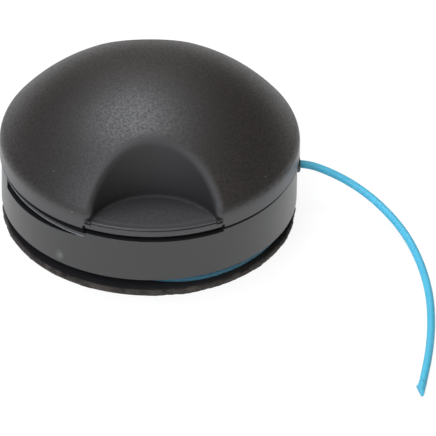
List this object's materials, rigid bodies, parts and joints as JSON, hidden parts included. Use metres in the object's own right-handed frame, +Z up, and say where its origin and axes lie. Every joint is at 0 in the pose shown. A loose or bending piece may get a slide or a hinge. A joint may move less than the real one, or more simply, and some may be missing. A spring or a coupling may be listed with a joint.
{
  "type": "trimmer line spool",
  "caption": "Domed tap-feed trimmer line spool: a textured cap with finger recesses twists onto a smooth drum, over a sprung spool of nylon line whose free end leaves through an eyelet.",
  "frame": {"origin": "centre of the lower flange's underside, on the spool's axis, where it stands", "axes": "+Z up the spool's axis to the top of the dome; -Y to the finger recess in front; +X to the side where the line leaves"},
  "size_m": [0.0851, 0.0952, 0.034],
  "materials": {
    "cap_plastic": "fine spark-eroded matt",
    "drum_plastic": "smooth satin",
    "spool_plastic": "smooth, scuffed at the edge",
    "line_nylon": "drawn nylon, faintly clear",
    "eyelet_steel": "dark burnished",
    "spring_steel": "bright drawn"
  },
  "bodies": {
    "spool": {"spool": "spool_plastic", "wound_line": "line_nylon", "feed_spring": "spring_steel", "retaining_ring": "spring_steel"},
    "washer": {"thrust_washer": "spring_steel"},
    "drum": {"line_drum": "drum_plastic", "line_eyelet": "eyelet_steel", "line_end": "line_nylon"},
    "cap": {"domed_cap": "cap_plastic"}
  },
  "joints": [
    {"name": "tap_press", "type": "slide", "parent": "spool", "child": "washer", "axis": [0, 0, -1], "range_m": [0, 0.0017], "stiffness_N_per_m": 1200, "springref_m": -0.005, "deforming": ["feed_spring"]},
    {"name": "line_feed", "type": "hinge", "parent": "washer", "child": "drum", "pos_m": [0, 0, 0], "axis": [0, 0, 1], "range_deg": [0, 38]},
    {"name": "cap_twist", "type": "hinge", "parent": "drum", "child": "cap", "pos_m": [0, 0, 0], "axis": [0, 0, 1], "range_deg": [0, 20]}
  ]
}
